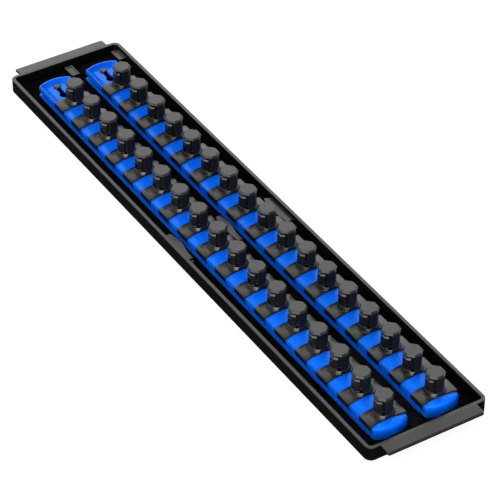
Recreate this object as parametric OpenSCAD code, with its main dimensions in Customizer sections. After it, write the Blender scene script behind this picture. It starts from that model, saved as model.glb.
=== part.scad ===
// Socket organizer drawer box: a shallow tray that holds two socket rails, with a row of square-drive
// socket clips sliding along each rail.
//
// Frame: millimetres, +Z up, X across the tray, +Y along it towards the keyhole end.
// The origin is on the underside of the tray, in the middle of its length and width.

/* [Tray] */
// Outside width of the tray
tray_w = 89; // [87:0.5:94]
// Outside length of the tray body, without its end tabs
tray_l = 465; // [464:1:480]
// Height of the tray walls
tray_h = 10.2; // [10:0.1:12]
// Thickness of the tray walls
wall_t = 2.6; // [2:0.1:2.8]
// Thickness of the tray floor
floor_t = 1.5; // [1.2:0.1:1.5]
// Outside radius of the upright corners
corner_r = 5; // [4:0.5:8]
// How far each end tab stands out from the tray
tab_reach = 8.5; // [6:0.5:12]
// Width of each end tab
tab_w = 71.6; // [60:0.2:76]
// Thickness of each end tab
tab_t = 1.7; // [1.4:0.1:2]
// How much lower a tab is at its outer edge than at the rim
tab_drop = 0.8; // [0:0.1:1.5]

/* [Rails] */
// Distance from the middle of the tray to the middle of each rail
rail_x = 19.15; // [18.5:0.05:19.5]
// Half the width of the crowned top of a rail
rail_half_w = 12.6; // [12.2:0.1:12.6]
// Height of the middle of the crown above the underside of the tray
rail_top_z = 11.5; // [11.3:0.1:11.5]
// How much higher the middle of the crown is than its edges
crown_rise = 1.4; // [1:0.1:1.6]
// Middle of the rail's far, keyhole end
rail_far_y = 215; // [214:0.5:216]
// Middle of the rail's near, bull-nosed end
rail_near_y = -222.5; // [-223:0.5:-221]
// How far a rail slides to come off its stud
keyhole_travel = 11; // [10:0.5:11]

/* [Clips] */
// Number of socket clips on each rail
clips_per_rail = 17; // [17:1:17]
// Distance from one socket post to the next
clip_pitch = 24.4; // [24:0.1:24.6]
// Length of a clip along the rail
clip_l = 12.4; // [11:0.1:13]
// Height of the top of a socket post
post_top_z = 27.9; // [26:0.1:30]
// Size of the square drive that the post's head fills, across its flats
drive_af = 12.4; // [12.2:0.1:12.5]

/* [Hidden] */
$fn = 64;
function two_digits(i) = i < 10 ? str("0", i) : str(i);
function clip_name(side, i) = str(side, "_clip_", two_digits(i));

gap = 0.1;                               // play of the sliding fits
overlap = 1;                             // how far a piece or a cut runs past the surface it meets
beyond_x = 15;                           // farther out than the sides of a rail or a clip
beyond_z = 30;                           // higher than anything in the part
tray_black = [0.09, 0.09, 0.1];
clip_black = [0.15, 0.15, 0.16];
rail_blue = [0, 0.35, 0.9];

// Tray
inner_w = tray_w - 2 * wall_t;
inner_l = tray_l - 2 * wall_t;
inner_half_w = inner_w / 2;
inner_half_l = inner_l / 2;
tab_edge_w = 1.2;                        // width of the chamfer along a tab's outer edge
tab_edge_drop = 0.4;
tab_corner_r = 1.6;

// Lugs, peg and pads that stand on the floor between and beside the rails
lug_top_z = 7.3;
lug_far_y = 17.3;
lug_near_y = -13.1;
lug_wall_far_y = 14.7;                   // where the right lug's rounded far end meets the wall
lug_right_edge = [                       // from a lug's middle, from its near end to its far end
    [1.3, lug_near_y], [1.6, -4.5], [2.6, 0], [3.4, 5], [2.9, 10.7], [2.2, 15.4], [1.2, lug_far_y]
];
lug_left_edge = [                        // from its far end back to its near end
    [-0.8, lug_far_y], [-1.6, 16.6], [-2.4, 14], [-3, 6], [-3.1, -4], [-2.2, lug_near_y]
];
peg_x = -39.2;
peg_y = -15.6;
peg_r = 1.3;
peg_bevel = 0.5;
pad_w = 6.2;
pad_far_y = 226.6;
pad_near_y = 214.1;
pad_border = 1.2;
pad_recess = 0.6;

// Rail section
flange_half_w = 12.9;
flange_z = floor_t + gap;
flange_top_z = 3.4;
plate_z = 6.9;                           // underside of the top plate that the clips hook under
web_half_w = 10.2;
web_t = 1.5;
hollow_top_z = 9.4;
shoulder_r = 1.2;
crown_r = (rail_half_w * rail_half_w + crown_rise * crown_rise) / (2 * crown_rise);

// Rail ends
far_end_r = 24.9;                        // radius of the far end in plan
near_end_r = 22;                         // radius of the near end in plan
nose_r = 3;                              // rounding of the near end's upper edge
end_stop_y = -217.6;                     // the clips can't pass the solid end beyond this
tongue_half_w = 3;
tongue_y = -227.5;
tongue_top_z = 2.7;

// Keyhole pan at the rail's far end
stud_y = 208;
stud_r = 1.4;
stud_head_r = 2.8;
stud_head_z = 7.4;
stud_bevel_z = 7.9;                      // where the head's edge starts to narrow
stud_top_z = 8.3;
stud_bevel = 0.6;
slot_half_w = 1.75;
hole_r = 3.4;
pan_z = 7.1;                             // floor of the pan
pan_t = 1.7;
pan_half_w = 6.9;                        // flat part of the pan's floor
pan_mouth_half_w = 11.6;                 // where the pan's sloped sides reach its rim
pan_rim_z = 10;
pan_lip = 1.3;                           // width of the lip round the far end
pan_near_y = 186;
pan_end_t = 2;                           // wall between the pan and the rail's hollow underside

// Guides and hook that hold the rail's near end
guide_gap = 0.3;
guide_x = flange_half_w + guide_gap;
guide_t = 1;
guide_top_z = 3.6;
guide_far_y = -214;
hook_half_w = 4;
hook_reach = 6.8;
hook_z = tongue_top_z + gap;
hook_top_z = 4.4;

// Clips
first_post_y = -210.2;                   // the post nearest to the bull-nosed end
clip_half_w = 13.6;
clip_top_z = 12.8;
clip_edge_r = 0.6;
clip_crown_r = crown_r + clip_top_z - rail_top_z;
leg_bevel_z = 7.6;
lip_z = 5.9;
lip_top_z = 6.75;
lip_half_w = 11.3;                       // half the mouth between the two hooks
leg_foot_half_w = 12.6;
shank_af = 11.6;
collar_r = 8.2;                          // round foot of the post: a shallow skirt and a steep part
collar_skirt_r = 7;
collar_top_r = 6.3;
collar_z = 12.1;
collar_skirt_z = 12.9;
collar_top_z = 14.8;
head_z = 26.1;
head_bevel = 0.8;
head_bevel_h = 1.25;
head_under_bevel = 0.4;
finger_t = 1.8;
finger_top_z = 23.9;
finger_bevel = 1;
finger_left_y = 1.6;                     // where it ends on the left side of the post
finger_corner_x = -0.3;                  // where it ends across the corner, from the corner's middle
finger_corner_depth = 5.1;               // from the post's middle to the finger's face at the corner
finger_proud = 0.1;
finger_gap = 0.6;
finger_slot_w = 4.6;
finger_slot_depth = 3;
detent_z = 20.6;                         // ridge that a socket's drive hole snaps over
detent_near_y = -1.2;
detent_root = 0.5;                       // how deep the ridge is set in the finger
detent_under_h = 1;
detent_over_h = 0.5;

function post_y(i) = first_post_y + (i - 1) * clip_pitch;

// ---- Shapes used more than once ----

// Rounded rectangle about the origin
module rounded_rectangle(w, l, r) {
    square([w - 2 * r, l], center = true);
    square([w, l - 2 * r], center = true);
    for (x = [-1, 1], y = [-1, 1])
        translate([x * (w / 2 - r), y * (l / 2 - r)])
            circle(r);
}

// Cross-section of a bar with a crowned top and rounded shoulders
module crowned_bar(half_w, bottom, top, radius, shoulder) {
    shoulder_x = half_w - shoulder;
    centre = top - radius;
    shoulder_z = centre + sqrt(pow(radius - shoulder, 2) - pow(shoulder_x, 2));
    tangent_x = shoulder_x * radius / (radius - shoulder);
    intersection() {
        translate([0, centre])
            circle(radius, $fn = 360);
        translate([-tangent_x, bottom])
            square([2 * tangent_x, top + overlap - bottom]);
    }
    translate([-half_w, bottom])
        square([2 * half_w, shoulder_z - bottom]);
    for (x = [-1, 1])
        translate([x * shoulder_x, shoulder_z])
            circle(shoulder);
}

// Stands a cross-section drawn in X and Z up and runs it from one Y to another
module run_along_y(from, to) {
    translate([0, to, 0])
        rotate([90, 0, 0])
            linear_extrude(to - from)
                children();
}

// A block given by its lowest and highest corners
module block(low, high) {
    translate(low)
        cube(high - low);
}

// Upright eight-sided bar, with flats facing along X and Y
module octagon_bar(across_flats, bottom, top) {
    translate([0, 0, bottom])
        rotate(22.5)
            cylinder(d = across_flats / cos(22.5), h = top - bottom, $fn = 8);
}

// The same, tapering from one size to another
module octagon_taper(bottom_af, top_af, bottom, top) {
    translate([0, 0, bottom])
        rotate(22.5)
            cylinder(d1 = bottom_af / cos(22.5), d2 = top_af / cos(22.5), h = top - bottom, $fn = 8);
}

// ---- Tray ----

module tray_shell() {
    difference() {
        linear_extrude(tray_h)
            rounded_rectangle(tray_w, tray_l, corner_r);
        translate([0, 0, floor_t])
            linear_extrude(tray_h)
                rounded_rectangle(inner_w, inner_l, corner_r - wall_t);
    }
}

// Thin plate that stands out from an end wall at rim height, sloping slightly down
module end_tab() {
    wall_y = tray_l / 2;
    root_y = wall_y - wall_t / 2;
    tip_y = wall_y + tab_reach;
    edge_y = tip_y - tab_edge_w;
    edge_z = tray_h - tab_drop * (edge_y - wall_y) / tab_reach;
    intersection() {
        rotate([90, 0, 90])
            translate([0, 0, -tab_w / 2])
                linear_extrude(tab_w)
                    polygon([
                        [root_y, tray_h], [wall_y, tray_h], [edge_y, edge_z],
                        [tip_y, tray_h - tab_drop - tab_edge_drop], [tip_y, tray_h - tab_drop - tab_t],
                        [wall_y, tray_h - tab_t], [root_y, tray_h - tab_t]
                    ]);
        translate([0, tray_l / 2, 0])
            linear_extrude(tray_h)
                rounded_rectangle(tab_w, 2 * tab_reach, tab_corner_r);
    }
}

// One lug between the rails and one at each side wall, with edges that bulge towards the rails
module lugs() {
    wall_lug_x = 2 * rail_x;
    wall_x = inner_half_w - wall_lug_x + wall_t / 2;
    linear_extrude(lug_top_z) {
        polygon(concat(lug_right_edge, lug_left_edge));
        translate([-wall_lug_x, 0])
            polygon(concat(lug_right_edge, [[-wall_x, lug_far_y], [-wall_x, lug_near_y]]));
        translate([wall_lug_x, 0])
            polygon(concat([[wall_x, lug_near_y], [wall_x, lug_wall_far_y]], lug_left_edge));
    }
}

// Small round peg at the near end of the left lug
module peg() {
    translate([peg_x, peg_y, 0]) {
        cylinder(r = peg_r, h = lug_top_z - peg_bevel);
        translate([0, 0, lug_top_z - peg_bevel])
            cylinder(r1 = peg_r, r2 = peg_r - peg_bevel, h = peg_bevel);
    }
}

// Pads with a shallow recess in their tops
module pads() {
    border = [pad_border, pad_border, 0];
    for (x = [-pad_w / 2, inner_half_w - pad_w])
        difference() {
            block([x, pad_near_y, 0], [x + pad_w, pad_far_y, lug_top_z]);
            block(
                [x, pad_near_y, lug_top_z - pad_recess] + border,
                [x + pad_w, pad_far_y, lug_top_z + overlap] - border
            );
        }
}

// Mushroom-headed stud that a rail's keyhole slides onto
module stud() {
    translate([0, stud_y, 0]) {
        cylinder(r = stud_r, h = stud_bevel_z);
        translate([0, 0, stud_head_z])
            cylinder(r = stud_head_r, h = stud_bevel_z - stud_head_z);
        translate([0, 0, stud_bevel_z])
            cylinder(r1 = stud_head_r, r2 = stud_head_r - stud_bevel, h = stud_top_z - stud_bevel_z);
    }
}

// Low ribs beside the rail's foot and a hook over its tongue
module near_end_guides() {
    for (side = [-1, 1])
        mirror([side < 0 ? 1 : 0, 0, 0])
            block([guide_x, -inner_half_l - overlap, 0], [guide_x + guide_t, guide_far_y, guide_top_z]);
    block(
        [-hook_half_w, -inner_half_l - overlap, hook_z],
        [hook_half_w, -inner_half_l + hook_reach, hook_top_z]
    );
}

module tray() {
    color(tray_black) {
        tray_shell();
        end_tab();
        mirror([0, 1, 0])
            end_tab();
        lugs();
        peg();
        pads();
        for (side = [-1, 1])
            translate([side * rail_x, 0, 0]) {
                stud();
                near_end_guides();
            }
    }
}

// ---- Rails ----

module rail_section() {
    difference() {
        crowned_bar(rail_half_w, plate_z, rail_top_z, crown_r, shoulder_r);
        translate([-web_half_w + web_t, plate_z - overlap])
            square([2 * (web_half_w - web_t), hollow_top_z - plate_z + overlap]);
    }
    for (side = [-1, 1])
        translate([side * (web_half_w - web_t / 2) - web_t / 2, flange_z])
            square([web_t, plate_z - flange_z + overlap]);
    for (side = [-1, 1])
        mirror([side < 0 ? 1 : 0, 0])
            translate([web_half_w - web_t, flange_z])
                square([flange_half_w - web_half_w + web_t, flange_top_z - flange_z]);
}

// Everything inside the rail's outline: arc-shaped ends, the near one with a rounded upper edge
module rail_envelope() {
    near_centre_y = rail_near_y + near_end_r;
    far_centre_y = rail_far_y - far_end_r;
    block([-beyond_x, near_centre_y, 0], [beyond_x, far_centre_y, beyond_z]);
    translate([0, far_centre_y, 0])
        cylinder(r = far_end_r, h = beyond_z, $fn = 180);
    translate([0, near_centre_y, 0])
        rotate_extrude($fn = 180)
            intersection() {
                square([near_end_r, rail_top_z]);
                union() {
                    square([near_end_r - nose_r, beyond_z]);
                    square([near_end_r, rail_top_z - nose_r]);
                    translate([near_end_r - nose_r, rail_top_z - nose_r])
                        circle(nose_r);
                }
            }
}

// Solid near end that stops the clips
module end_block() {
    run_along_y(rail_near_y - overlap, end_stop_y)
        crowned_bar(rail_half_w, flange_z, rail_top_z, crown_r, shoulder_r);
}

// The lowered pan round the keyhole, before the keyhole is cut
module pan_floor() {
    half_w = web_half_w - web_t / 2;
    block([-half_w, pan_near_y - pan_end_t, pan_z - pan_t], [half_w, rail_far_y + overlap, pan_rim_z]);
}

module pan_space() {
    intersection() {
        run_along_y(pan_near_y, rail_far_y)
            polygon([
                [-pan_half_w, pan_z], [pan_half_w, pan_z], [pan_mouth_half_w, pan_rim_z],
                [-pan_mouth_half_w, pan_rim_z]
            ]);
        translate([0, rail_far_y - far_end_r, 0])
            cylinder(r = far_end_r - pan_lip, h = beyond_z, $fn = 180);
    }
    block([-beyond_x, pan_near_y, pan_rim_z], [beyond_x, rail_far_y + overlap, beyond_z]);
}

module keyhole() {
    hole_y = stud_y - keyhole_travel;
    translate([0, stud_y, 0])
        cylinder(r = slot_half_w, h = beyond_z);
    translate([0, hole_y, 0])
        cylinder(r = hole_r, h = beyond_z);
    block([-slot_half_w, hole_y, 0], [slot_half_w, stud_y, beyond_z]);
}

module rail() {
    color(rail_blue) {
        difference() {
            intersection() {
                union() {
                    run_along_y(rail_near_y - overlap, rail_far_y + overlap)
                        rail_section();
                    end_block();
                    pan_floor();
                }
                rail_envelope();
            }
            pan_space();
            keyhole();
        }
        block(
            [-tongue_half_w, tongue_y, flange_z],
            [tongue_half_w, rail_near_y + overlap, tongue_top_z]
        );
    }
}

// ---- Clips ----

module saddle_section() {
    difference() {
        union() {
            crowned_bar(clip_half_w, leg_bevel_z, clip_top_z, clip_crown_r, clip_edge_r);
            polygon([
                [-clip_half_w, leg_bevel_z], [clip_half_w, leg_bevel_z], [leg_foot_half_w, lip_z],
                [-leg_foot_half_w, lip_z]
            ]);
        }
        crowned_bar(rail_half_w + gap, lip_top_z, rail_top_z + gap, crown_r + gap, shoulder_r + gap);
        translate([-lip_half_w, 0])
            square([2 * lip_half_w, lip_top_z + overlap]);
    }
}

// Plan of the post at a given size across its flats
module octagon(across_flats) {
    rotate(22.5)
        circle(d = across_flats / cos(22.5), $fn = 8);
}

// Part of the plan between a line across the post's left side and one square to its left near corner
module left_near_region(left_y, corner_x) {
    rotate(-45)
        polygon([[corner_x, 0], [corner_x, -beyond_x], [-beyond_x, -beyond_x], [-beyond_x, 0]]);
    polygon([[-beyond_x, left_y], [0, left_y], [0, 0], [-beyond_x, -beyond_x]]);
}

// Room round the spring finger
module finger_slot() {
    translate([0, 0, collar_top_z])
        linear_extrude(head_z - head_under_bevel - collar_top_z)
            difference() {
                left_near_region(finger_left_y + finger_gap, finger_slot_w / 2);
                octagon(shank_af - 2 * finger_slot_depth);
            }
}

// Everything behind the finger's face at the corner, which is set back and bevelled at its top
module behind_finger_corner() {
    rotate([90, 0, 45])
        translate([0, 0, -beyond_x])
            linear_extrude(2 * beyond_x)
                polygon([
                    [-finger_corner_depth, collar_z], [-finger_corner_depth, finger_top_z - finger_bevel],
                    [finger_bevel - finger_corner_depth, finger_top_z], [beyond_x, finger_top_z],
                    [beyond_x, collar_z]
                ]);
}

// Spring finger that covers the post's left side and part of its near corner
module finger() {
    af = shank_af + 2 * finger_proud;
    intersection() {
        behind_finger_corner();
        translate([0, 0, collar_z])
            linear_extrude(finger_top_z - collar_z)
                difference() {
                    intersection() {
                        octagon(drive_af);
                        left_near_region(finger_left_y, finger_corner_x);
                    }
                    octagon(af - 2 * finger_t);
                }
        union() {
            octagon_bar(af, collar_z, finger_top_z - finger_bevel);
            octagon_taper(af, af - 2 * finger_bevel, finger_top_z - finger_bevel, finger_top_z);
        }
    }
}

// Ridge across the finger's left side
module detent() {
    face_x = -shank_af / 2 - finger_proud;
    run_along_y(detent_near_y, finger_left_y)
        polygon([
            [face_x + detent_root, detent_z - detent_under_h], [face_x, detent_z - detent_under_h],
            [-drive_af / 2, detent_z],
            [face_x, detent_z + detent_over_h], [face_x + detent_root, detent_z + detent_over_h]
        ]);
}

// Round foot of the post, no longer than the saddle it stands on
module collar() {
    intersection() {
        union() {
            translate([0, 0, collar_z])
                cylinder(r1 = collar_r, r2 = collar_skirt_r, h = collar_skirt_z - collar_z);
            translate([0, 0, collar_skirt_z])
                cylinder(r1 = collar_skirt_r, r2 = collar_top_r, h = collar_top_z - collar_skirt_z);
        }
        block([-collar_r, -clip_l / 2, collar_z], [collar_r, clip_l / 2, collar_top_z]);
    }
}

module post() {
    difference() {
        union() {
            octagon_bar(shank_af, collar_z, head_z);
            octagon_taper(shank_af, drive_af, head_z - head_under_bevel, head_z);
            octagon_bar(drive_af, head_z, post_top_z - head_bevel_h);
            octagon_taper(drive_af, drive_af - 2 * head_bevel, post_top_z - head_bevel_h, post_top_z);
        }
        finger_slot();
    }
    collar();
    finger();
    detent();
}

module clip() {
    color(clip_black) {
        run_along_y(-clip_l / 2, clip_l / 2)
            saddle_section();
        post();
    }
}

module clip_at(side, i) {
    translate([side * rail_x, post_y(i), 0])
        clip();
}

// ---- The assembly ----

tray();
translate([-rail_x, 0, 0]) rail();  // left_rail
translate([rail_x, 0, 0]) rail();  // right_rail
for (i = [1:clips_per_rail]) {
    clip_at(-1, i);
    clip_at(1, i);
}
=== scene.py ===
"""The looks of a socket organizer drawer box: a black tray, two blue rails and their black clips."""

import math

import bpy
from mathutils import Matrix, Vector

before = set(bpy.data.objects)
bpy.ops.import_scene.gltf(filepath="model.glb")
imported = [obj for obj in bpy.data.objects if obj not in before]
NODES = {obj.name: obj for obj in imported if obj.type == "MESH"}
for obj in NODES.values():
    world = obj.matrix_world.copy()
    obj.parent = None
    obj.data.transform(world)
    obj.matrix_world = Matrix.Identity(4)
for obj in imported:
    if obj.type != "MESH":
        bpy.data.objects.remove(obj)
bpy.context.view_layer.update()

MM = 0.001

# Camera, worked out from the rows of posts and the tray's corners.
# Azimuths run from +Y towards +X, and all angles are in degrees.
CAMERA_TARGET = Vector((4.04, -18.03, 0.0)) * MM
CAMERA_AZIMUTH = 31.836
CAMERA_ELEVATION = 38.467
CAMERA_DISTANCE = 1770.25 * MM
CAMERA_LENS = 190.68
CAMERA_SENSOR = 36.0
CAMERA_CLIP = (0.05, 50.0)

# The sky's level at the horizon and overhead, and the height at which it stops changing
HORIZON_LEVEL = 0.5
OVERHEAD_LEVEL = 0.3
OVERHEAD_FROM = 0.8

# The sky's soft boxes: azimuth, elevation, angle out to which it is even, angle at which it ends, level
SOFT_BOXES = (
    (32, 38, 15, 35, 1.9),    # behind, mirrored to the camera by level faces
    (-43, 24, 10, 30, 1.2),   # far left, mirrored by bevels that face left
    (-160, 23, 14, 34, 3.2),  # front, for the rails' near ends
    (-137, 5, 10, 24, 7.0),   # low at the near left, mirrored by the clips' round feet
    (-116, 46, 8, 16, 5.5),   # left, mirrored by the near left bevels of the clips' heads
    (-153, 84, 10, 25, 2.0),  # overhead
    (146, 42, 10, 30, 0.4),   # near right, mirrored by bevels that face the near end
    (84, 10, 10, 30, 0.2),    # low on the right, mirrored by the near right bevels
)

# Floor: half its width and how far it lies below the object in metres, its glow, and its gray
FLOOR_HALF = 6.0
FLOOR_GAP = 0.0002
FLOOR_GLOW = 0.88
FLOOR_COLOR = 0.15

# Plastics: colours are linear; edge, grain, grain_depth and dull_below are in mm; spread is how much
# the roughness varies; the wall values hold for upright faces, and for all that lies under dull_below
TRAY_PLASTIC = {
    "color": (0.001, 0.001, 0.001), "worn": (0.012, 0.012, 0.012), "edge": 0.3,
    "roughness": 0.3, "wall_roughness": 0.8, "spread": 0.05,
    "specular": 0.5, "wall_specular": 0.015, "dull_below": 5,
    "grain": 0.35, "grain_depth": 0.008,
}
RAIL_PLASTIC = {
    "color": (0.0, 0.1, 0.69), "worn": (0.01, 0.14, 0.78), "edge": 0.3,
    "roughness": 0.24, "wall_roughness": 0.32, "spread": 0.04,
    "specular": 0.3, "tint": (0.15, 1.0, 1.0),
    "grain": 0.3, "grain_depth": 0.003,
}
CLIP_PLASTIC = {
    "color": (0.003, 0.003, 0.003), "worn": (0.02, 0.02, 0.02), "edge": 0.2,
    "roughness": 0.26, "wall_roughness": 0.42, "spread": 0.04,
    "specular": 0.5, "wall_specular": 0.2,
    "grain": 0.25, "grain_depth": 0.004,
}
PLASTICS = {"tray": TRAY_PLASTIC, "rail": RAIL_PLASTIC, "clip": CLIP_PLASTIC}

# What the plastics share. A noise is its size in mm, its detail and its roughness, and the grain's
# size is each plastic's own. A range is what a value runs over while something comes in: the normal's
# height, the pointiness or a noise. The fade is in mm, and a wear is a share of the worn colour.
CLOUD = (22, 3.0, 0.55)
SCUFF = (3.5, 5.0, 0.7)
GRAIN_DETAIL = (3.0, 0.6)
UPWARD_RANGE = (0.1, 0.4)
EDGE_RANGE = (0.52, 0.62)
CLOUD_RANGE = (0.3, 0.7)
SCUFF_WEAR_RANGE = (0.4, 0.65)
SCUFF_GLOSS_RANGE = (0.45, 0.75)
DULL_FADE = 1
CLOUD_WEAR = 0.15
EDGE_WEAR = 0.6
LEAST_SCUFF_WEAR = 0.3

# Rounded edges: what is welded in mm, and the angles from which faces count as flat, edges are
# rounded and shading breaks
WELD_DISTANCE = 0.05
FLAT_ANGLE = 1
EDGE_ANGLE = 40
CREASE_ANGLE = 32
EDGE_SEGMENTS = 3


# ---- Node helpers ----

class Tree:
    """Short ways to add and link shader nodes."""

    def __init__(self, holder):
        holder.use_nodes = True
        self.tree = holder.node_tree
        self.tree.nodes.clear()

    def add(self, kind, inputs=None, **settings):
        node = self.tree.nodes.new(kind)
        for name, value in settings.items():
            setattr(node, name, value)
        for name, value in (inputs or {}).items():
            if isinstance(value, bpy.types.NodeSocket):
                self.tree.links.new(value, node.inputs[name])
            else:
                node.inputs[name].default_value = value
        return node

    def height(self, vector):
        return self.add("ShaderNodeSeparateXYZ", {0: vector}).outputs["Z"]

    def noise(self, vector, size_mm, detail, roughness):
        node = self.add("ShaderNodeTexNoise", {
            "Vector": vector, "Scale": 1 / (size_mm * MM), "Detail": detail, "Roughness": roughness,
        })
        return node.outputs["Fac"]

    def map_range(self, value, span, to_low, to_high, curve="LINEAR"):
        node = self.add("ShaderNodeMapRange", {
            "Value": value, "From Min": span[0], "From Max": span[1], "To Min": to_low, "To Max": to_high,
        }, interpolation_type=curve)
        return node.outputs["Result"]

    def math(self, operation, a, b):
        return self.add("ShaderNodeMath", {0: a, 1: b}, operation=operation).outputs[0]

    def dot(self, a, b):
        return self.add("ShaderNodeVectorMath", {0: a, 1: b}, operation="DOT_PRODUCT").outputs["Value"]

    def mix_color(self, factor, a, b):
        return self.add("ShaderNodeMix", {0: factor, 6: a, 7: b}, data_type="RGBA").outputs[2]


def gray(level):
    return (level, level, level, 1.0)


def opaque(color):
    return (*color, 1.0)


def direction(azimuth, elevation):
    """The unit vector towards an azimuth and an elevation."""
    azimuth, elevation = math.radians(azimuth), math.radians(elevation)
    flat = math.cos(elevation)
    return Vector((math.sin(azimuth) * flat, math.cos(azimuth) * flat, math.sin(elevation)))


# ---- Materials ----

def polish(t, place, normal, look):
    """0 on upright faces and low down, 1 on faces that look upwards."""
    polished = t.map_range(t.height(normal), UPWARD_RANGE, 0.0, 1.0)
    if "dull_below" not in look:
        return polished
    top = look["dull_below"]
    raised = t.map_range(t.height(place), (top * MM, (top + DULL_FADE) * MM), 0.0, 1.0)
    return t.math("MULTIPLY", polished, raised)


def worn_color(t, edge, cloud, scuff, look):
    """The plastic's colour, a little lighter in clouds and where the edges are rubbed."""
    rubbed = t.map_range(edge, EDGE_RANGE, 0.0, EDGE_WEAR)
    scuffed = t.map_range(scuff, SCUFF_WEAR_RANGE, LEAST_SCUFF_WEAR, 1.0)
    rubbed = t.math("MULTIPLY", rubbed, scuffed)
    color, worn = opaque(look["color"]), opaque(look["worn"])
    shade = t.mix_color(t.map_range(cloud, CLOUD_RANGE, 0.0, CLOUD_WEAR), color, worn)
    return t.mix_color(rubbed, shade, worn)


def uneven_roughness(t, polished, cloud, scuff, look):
    spread = look["spread"]
    rough = t.map_range(polished, (0.0, 1.0), look["wall_roughness"], look["roughness"])
    rough = t.math("ADD", rough, t.map_range(cloud, CLOUD_RANGE, -spread, spread))
    return t.math("ADD", rough, t.map_range(scuff, SCUFF_GLOSS_RANGE, 0.0, spread))


def grain_bump(t, place, look):
    grain = t.noise(place, look["grain"], *GRAIN_DETAIL)
    depth = look["grain_depth"] * MM
    return t.add("ShaderNodeBump", {"Height": grain, "Distance": depth, "Strength": 1.0}).outputs["Normal"]


def moulded_plastic(name, look):
    """Injection-moulded plastic: fine grain, uneven gloss, duller walls, and lighter rubbed edges."""
    material = bpy.data.materials.new(name)
    t = Tree(material)
    place = t.add("ShaderNodeTexCoord").outputs["Object"]
    surface = t.add("ShaderNodeNewGeometry").outputs
    polished = polish(t, place, surface["Normal"], look)
    cloud = t.noise(place, *CLOUD)
    scuff = t.noise(place, *SCUFF)
    specular = look["specular"]
    if "wall_specular" in look:
        specular = t.map_range(polished, (0.0, 1.0), look["wall_specular"], specular)
    shader = t.add("ShaderNodeBsdfPrincipled", {
        "Base Color": worn_color(t, surface["Pointiness"], cloud, scuff, look),
        "Roughness": uneven_roughness(t, polished, cloud, scuff, look),
        "Normal": grain_bump(t, place, look),
        "Specular IOR Level": specular,
        "Specular Tint": opaque(look.get("tint", (1.0, 1.0, 1.0))),
    })
    t.add("ShaderNodeOutputMaterial", {"Surface": shader.outputs["BSDF"]})
    return material


def floor_material():
    """White to the camera and in reflections, with the object's shadow; plain gray to all else."""
    material = bpy.data.materials.new("studio_floor")
    t = Tree(material)
    path = t.add("ShaderNodeLightPath").outputs
    shown = t.math("ADD", path["Is Camera Ray"], path["Is Glossy Ray"])
    shown = t.math("MINIMUM", t.math("ADD", shown, path["Is Transmission Ray"]), 1.0)
    surface = t.add("ShaderNodeBsdfDiffuse", {"Color": gray(FLOOR_COLOR)}).outputs[0]
    glow = t.add("ShaderNodeEmission", {"Color": gray(1.0), "Strength": FLOOR_GLOW}).outputs[0]
    lit = t.add("ShaderNodeAddShader", {0: glow, 1: surface}).outputs[0]
    mix = t.add("ShaderNodeMixShader", {0: shown, 1: surface, 2: lit})
    t.add("ShaderNodeOutputMaterial", {"Surface": mix.outputs[0]})
    return material


# ---- The object ----

def kind_of(name):
    if name == "tray":
        return "tray"
    return "rail" if name.endswith("rail") else "clip"


def dress(node, material, edge_mm):
    """Gives a CAD node its material and small rounded edges, with crisp creases between its faces."""
    node.data.materials.clear()
    node.data.materials.append(material)
    weld = node.modifiers.new("weld", "WELD")
    weld.merge_threshold = WELD_DISTANCE * MM
    flat = node.modifiers.new("flat_faces", "DECIMATE")
    flat.decimate_type = "DISSOLVE"
    flat.angle_limit = math.radians(FLAT_ANGLE)
    bevel = node.modifiers.new("edges", "BEVEL")
    bevel.width = edge_mm * MM
    bevel.segments = EDGE_SEGMENTS
    bevel.limit_method = "ANGLE"
    bevel.angle_limit = math.radians(EDGE_ANGLE)
    bevel.use_clamp_overlap = False
    crease = node.modifiers.new("creases", "EDGE_SPLIT")
    crease.split_angle = math.radians(CREASE_ANGLE)


def dress_object():
    materials = {kind: moulded_plastic(kind + "_plastic", look) for kind, look in PLASTICS.items()}
    for name, node in NODES.items():
        kind = kind_of(name)
        dress(node, materials[kind], PLASTICS[kind]["edge"])


# ---- Studio ----

def build_floor():
    mesh = bpy.data.meshes.new("studio_floor")
    h = FLOOR_HALF
    mesh.from_pydata([(-h, -h, 0), (h, -h, 0), (h, h, 0), (-h, h, 0)], [], [(0, 1, 2, 3)])
    floor = bpy.data.objects.new("studio_floor", mesh)
    bpy.context.scene.collection.objects.link(floor)
    floor.location.z = -FLOOR_GAP
    mesh.materials.append(floor_material())


def build_sky():
    """A soft sky that fades upwards, with broad soft boxes in it."""
    world = bpy.data.worlds.new("studio")
    bpy.context.scene.world = world
    t = Tree(world)
    seen = t.add("ShaderNodeTexCoord").outputs["Generated"]
    level = t.map_range(t.height(seen), (0.0, OVERHEAD_FROM), HORIZON_LEVEL, OVERHEAD_LEVEL, "SMOOTHSTEP")
    for azimuth, elevation, even, end, strength in SOFT_BOXES:
        closeness = t.dot(seen, direction(azimuth, elevation))
        fade = math.cos(math.radians(end)), math.cos(math.radians(even))
        level = t.math("ADD", level, t.map_range(closeness, fade, 0.0, strength, "SMOOTHSTEP"))
    light = t.add("ShaderNodeBackground", {"Color": gray(1.0), "Strength": level})
    t.add("ShaderNodeOutputWorld", {"Surface": light.outputs[0]})


def build_camera():
    lens = bpy.data.cameras.new("camera")
    lens.lens = CAMERA_LENS
    lens.sensor_width = CAMERA_SENSOR
    lens.clip_start, lens.clip_end = CAMERA_CLIP
    camera = bpy.data.objects.new("camera", lens)
    bpy.context.scene.collection.objects.link(camera)
    forward = direction(CAMERA_AZIMUTH, -CAMERA_ELEVATION)
    camera.location = CAMERA_TARGET - forward * CAMERA_DISTANCE
    camera.rotation_mode = "QUATERNION"
    camera.rotation_quaternion = forward.to_track_quat("-Z", "Y")
    bpy.context.scene.camera = camera


build_camera()
build_sky()
build_floor()
dress_object()
bpy.context.scene.view_settings.view_transform = "Standard"
